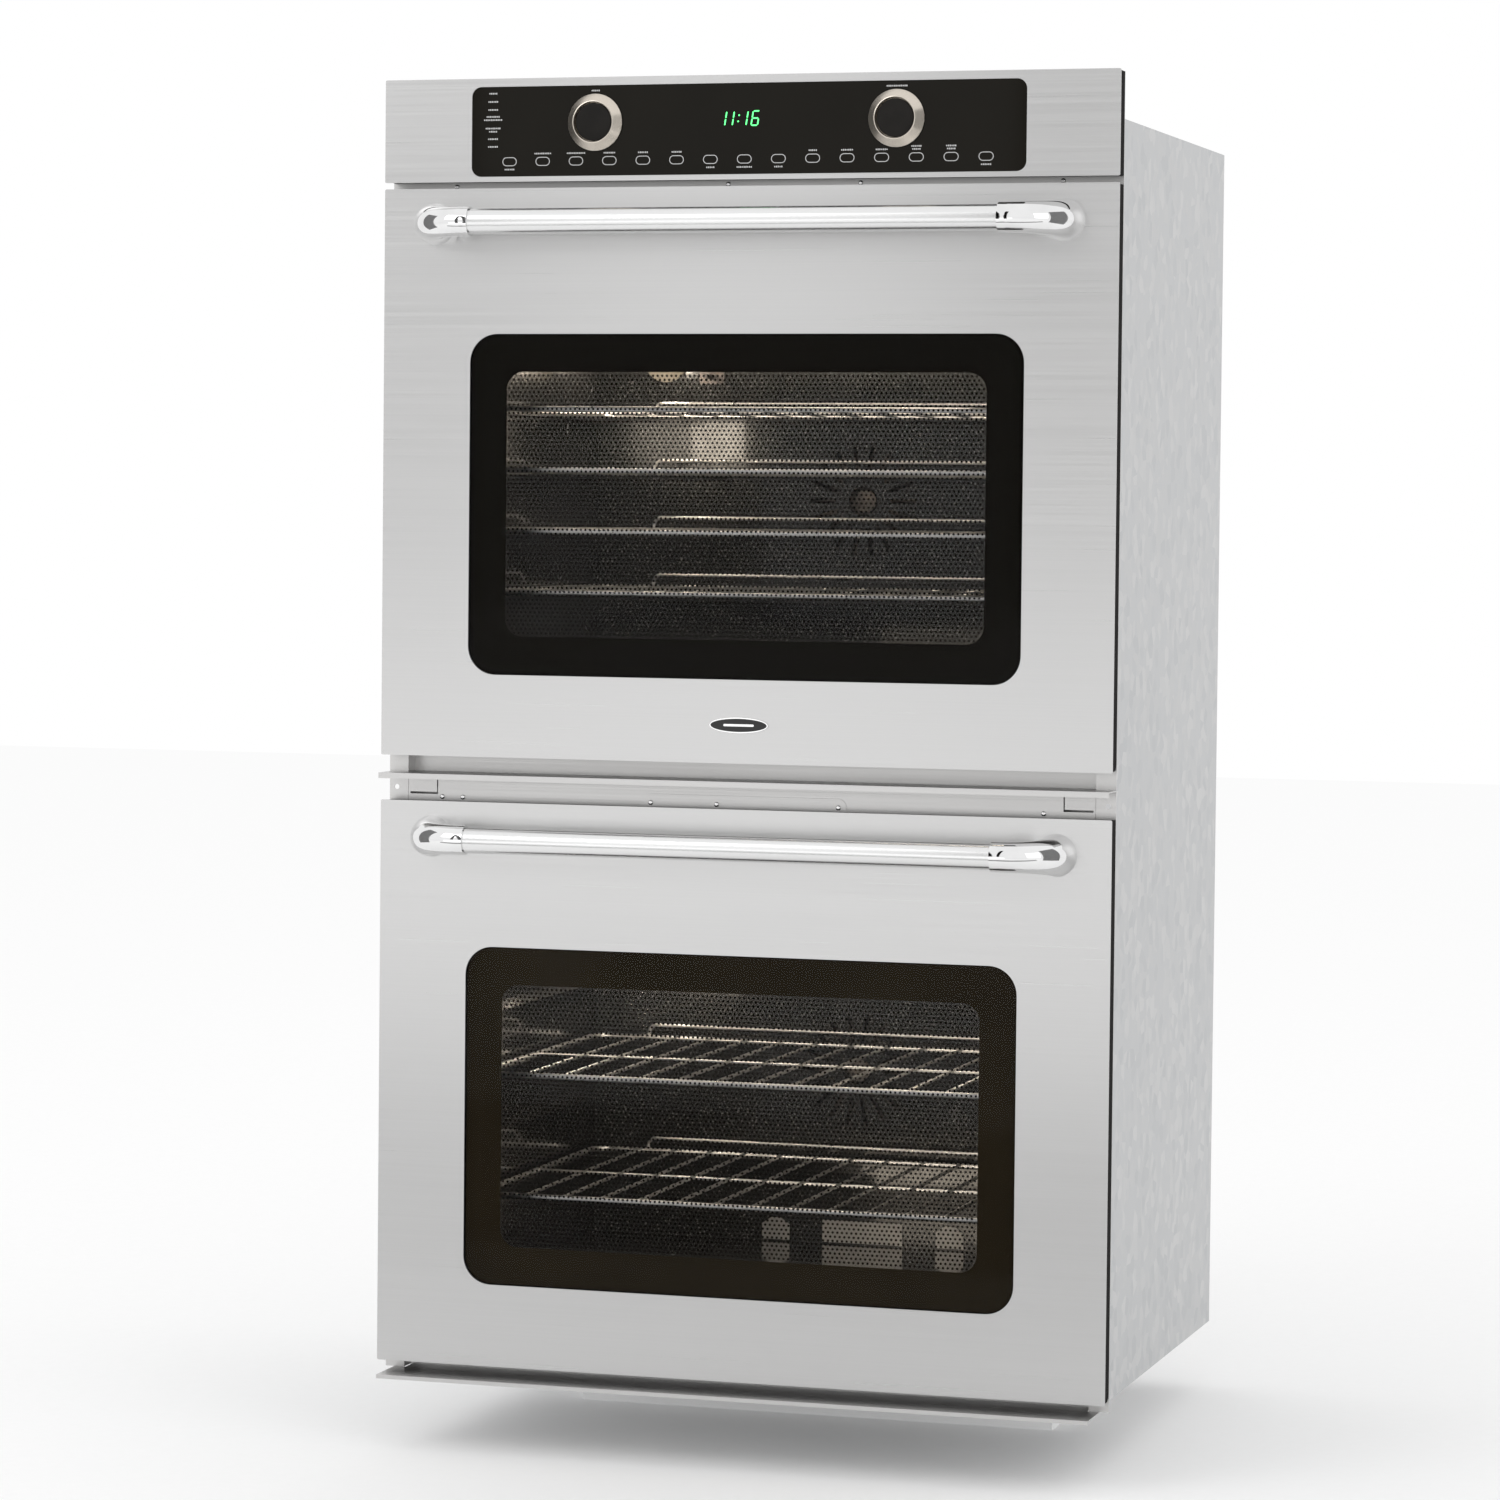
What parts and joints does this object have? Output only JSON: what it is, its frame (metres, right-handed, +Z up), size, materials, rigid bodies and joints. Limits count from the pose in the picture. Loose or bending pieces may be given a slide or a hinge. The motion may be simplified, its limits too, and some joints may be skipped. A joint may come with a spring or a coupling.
{
  "type": "double wall oven",
  "caption": "Built-in double wall oven: stacked ovens with drop-down windowed doors, bar handles and wire racks under a control fascia with knobs.",
  "frame": {"origin": "under the middle of the whole object, on the plane of the base", "axes": "+Z up, the doors face -Y, +X to the right of someone standing in front"},
  "size_m": [0.756, 0.6668, 1.3098],
  "materials": {
    "stainless": "brushed stainless",
    "chrome": "polished",
    "nickel": "satin nickel",
    "black_paint": "satin black",
    "galvanised": "galvanised sheet",
    "enamel": "porcelain enamel",
    "window": "dark bordered oven glass",
    "clear_glass": "clear heat glass",
    "control_glass": "black glass",
    "rack_steel": "nickel-chrome plated wire",
    "gasket": "woven glass-fibre seal",
    "board": "circuit board",
    "plastic": "moulded",
    "element": "oxidised sheath",
    "brass": "plated"
  },
  "bodies": {
    "chassis": {"back_panel": "galvanised", "base_pan": "galvanised", "blower_housing": "galvanised", "bottom_trim": "stainless", "cable_gland": "brass", "control_board": "board", "control_fascia": "stainless", "control_glass": "control_glass", "door_gaskets": "gasket", "element_brackets": "enamel", "fan_covers": "enamel", "fan_motors": "galvanised", "fascia_casing": "black_paint", "front_frame": "stainless", "heating_elements": "element", "hinge_mounts": "galvanised", "junction_box": "galvanised", "knob_encoders": "plastic", "lock_brackets": "plastic", "lower_cavity": "enamel", "mid_trim": "stainless", "oven_lamps": "clear_glass", "rack_guides": "enamel", "side_panels": "galvanised", "temperature_sensors": "element", "top_cover": "galvanised", "trim_screws": "stainless", "upper_cavity": "enamel"},
    "lower_door": {"lower_door_skin": "stainless", "lower_door_casing": "black_paint", "lower_window_glass": "window", "lower_door_liner": "enamel", "lower_inner_glass": "clear_glass", "lower_handle_tube": "stainless", "lower_handle_ends": "chrome", "lower_hinge_pins": "galvanised"},
    "upper_door": {"upper_door_skin": "stainless", "upper_door_casing": "black_paint", "upper_window_glass": "window", "upper_door_liner": "enamel", "upper_inner_glass": "clear_glass", "upper_handle_tube": "stainless", "upper_handle_ends": "chrome", "upper_hinge_pins": "galvanised", "door_badge": "chrome"},
    "left_knob": {"left_knob": "nickel"},
    "right_knob": {"right_knob": "nickel"},
    "lower_fan": {"lower_fan": "galvanised"},
    "upper_fan": {"upper_fan": "galvanised"},
    "blower_wheel": {"blower_wheel": "galvanised"},
    "lower_latch": {"lower_latch": "galvanised"},
    "upper_latch": {"upper_latch": "galvanised"},
    "lower_plunger": {"lower_plunger": "plastic"},
    "upper_plunger": {"upper_plunger": "plastic"},
    "lower_rack_1": {"lower_rack_1": "rack_steel"},
    "lower_rack_2": {"lower_rack_2": "rack_steel"},
    "upper_rack_1": {"upper_rack_1": "rack_steel"},
    "upper_rack_2": {"upper_rack_2": "rack_steel"},
    "upper_rack_3": {"upper_rack_3": "rack_steel"},
    "upper_rack_4": {"upper_rack_4": "rack_steel"}
  },
  "joints": [
    {"name": "lower_door_hinge", "type": "hinge", "parent": "chassis", "child": "lower_door", "pos_m": [0, -0.26262, 0.023], "axis": [1, 0, 0], "range_deg": [0, 90], "stiffness_Nm_per_rad": 16, "springref_deg": -14.32},
    {"name": "upper_door_hinge", "type": "hinge", "parent": "chassis", "child": "upper_door", "pos_m": [0, -0.26262, 0.6385], "axis": [1, 0, 0], "range_deg": [0, 90], "stiffness_Nm_per_rad": 16, "springref_deg": -14.32},
    {"name": "lower_rack_1_slide", "type": "slide", "parent": "chassis", "child": "lower_rack_1", "axis": [0, -1, 0], "range_m": [0, 0.23]},
    {"name": "lower_rack_2_slide", "type": "slide", "parent": "chassis", "child": "lower_rack_2", "axis": [0, -1, 0], "range_m": [0, 0.23]},
    {"name": "lower_plunger_slide", "type": "slide", "parent": "chassis", "child": "lower_plunger", "axis": [0, -1, 0], "range_m": [0, 0.006]},
    {"name": "lower_latch_pivot", "type": "hinge", "parent": "chassis", "child": "lower_latch", "pos_m": [0, -0.21513, 0.551], "axis": [0, 0, -1], "range_deg": [0, 88]},
    {"name": "lower_fan_spin", "type": "hinge", "parent": "chassis", "child": "lower_fan", "pos_m": [0, 0.19407, 0.276], "axis": [0, 1, 0], "continuous": true},
    {"name": "upper_rack_1_slide", "type": "slide", "parent": "chassis", "child": "upper_rack_1", "axis": [0, -1, 0], "range_m": [0, 0.23]},
    {"name": "upper_rack_2_slide", "type": "slide", "parent": "chassis", "child": "upper_rack_2", "axis": [0, -1, 0], "range_m": [0, 0.23]},
    {"name": "upper_rack_3_slide", "type": "slide", "parent": "chassis", "child": "upper_rack_3", "axis": [0, -1, 0], "range_m": [0, 0.23]},
    {"name": "upper_rack_4_slide", "type": "slide", "parent": "chassis", "child": "upper_rack_4", "axis": [0, -1, 0], "range_m": [0, 0.23]},
    {"name": "upper_plunger_slide", "type": "slide", "parent": "chassis", "child": "upper_plunger", "axis": [0, -1, 0], "range_m": [0, 0.006]},
    {"name": "upper_latch_pivot", "type": "hinge", "parent": "chassis", "child": "upper_latch", "pos_m": [0, -0.21513, 1.1665], "axis": [0, 0, -1], "range_deg": [0, 88]},
    {"name": "upper_fan_spin", "type": "hinge", "parent": "chassis", "child": "upper_fan", "pos_m": [0, 0.19407, 0.8915], "axis": [0, 1, 0], "continuous": true},
    {"name": "blower_spin", "type": "hinge", "parent": "chassis", "child": "blower_wheel", "pos_m": [0, 0.05538, 1.177], "axis": [1, 0, 0], "continuous": true},
    {"name": "left_knob_turn", "type": "hinge", "parent": "chassis", "child": "left_knob", "pos_m": [-0.155, -0.27463, 1.2648], "axis": [0, -1, 0], "continuous": true},
    {"name": "right_knob_turn", "type": "hinge", "parent": "chassis", "child": "right_knob", "pos_m": [0.155, -0.27463, 1.2648], "axis": [0, -1, 0], "continuous": true}
  ],
  "couplings": [
    {"joint": "lower_rack_1_slide", "follows": "lower_door_hinge", "m_per_rad": 0.146},
    {"joint": "lower_rack_2_slide", "follows": "lower_door_hinge", "m_per_rad": 0.146},
    {"joint": "lower_plunger_slide", "follows": "lower_door_hinge", "m_per_rad": 0.0038},
    {"joint": "upper_rack_1_slide", "follows": "upper_door_hinge", "m_per_rad": 0.146},
    {"joint": "upper_rack_2_slide", "follows": "upper_door_hinge", "m_per_rad": 0.146},
    {"joint": "upper_rack_3_slide", "follows": "upper_door_hinge", "m_per_rad": 0.146},
    {"joint": "upper_rack_4_slide", "follows": "upper_door_hinge", "m_per_rad": 0.146},
    {"joint": "upper_plunger_slide", "follows": "upper_door_hinge", "m_per_rad": 0.0038}
  ]
}
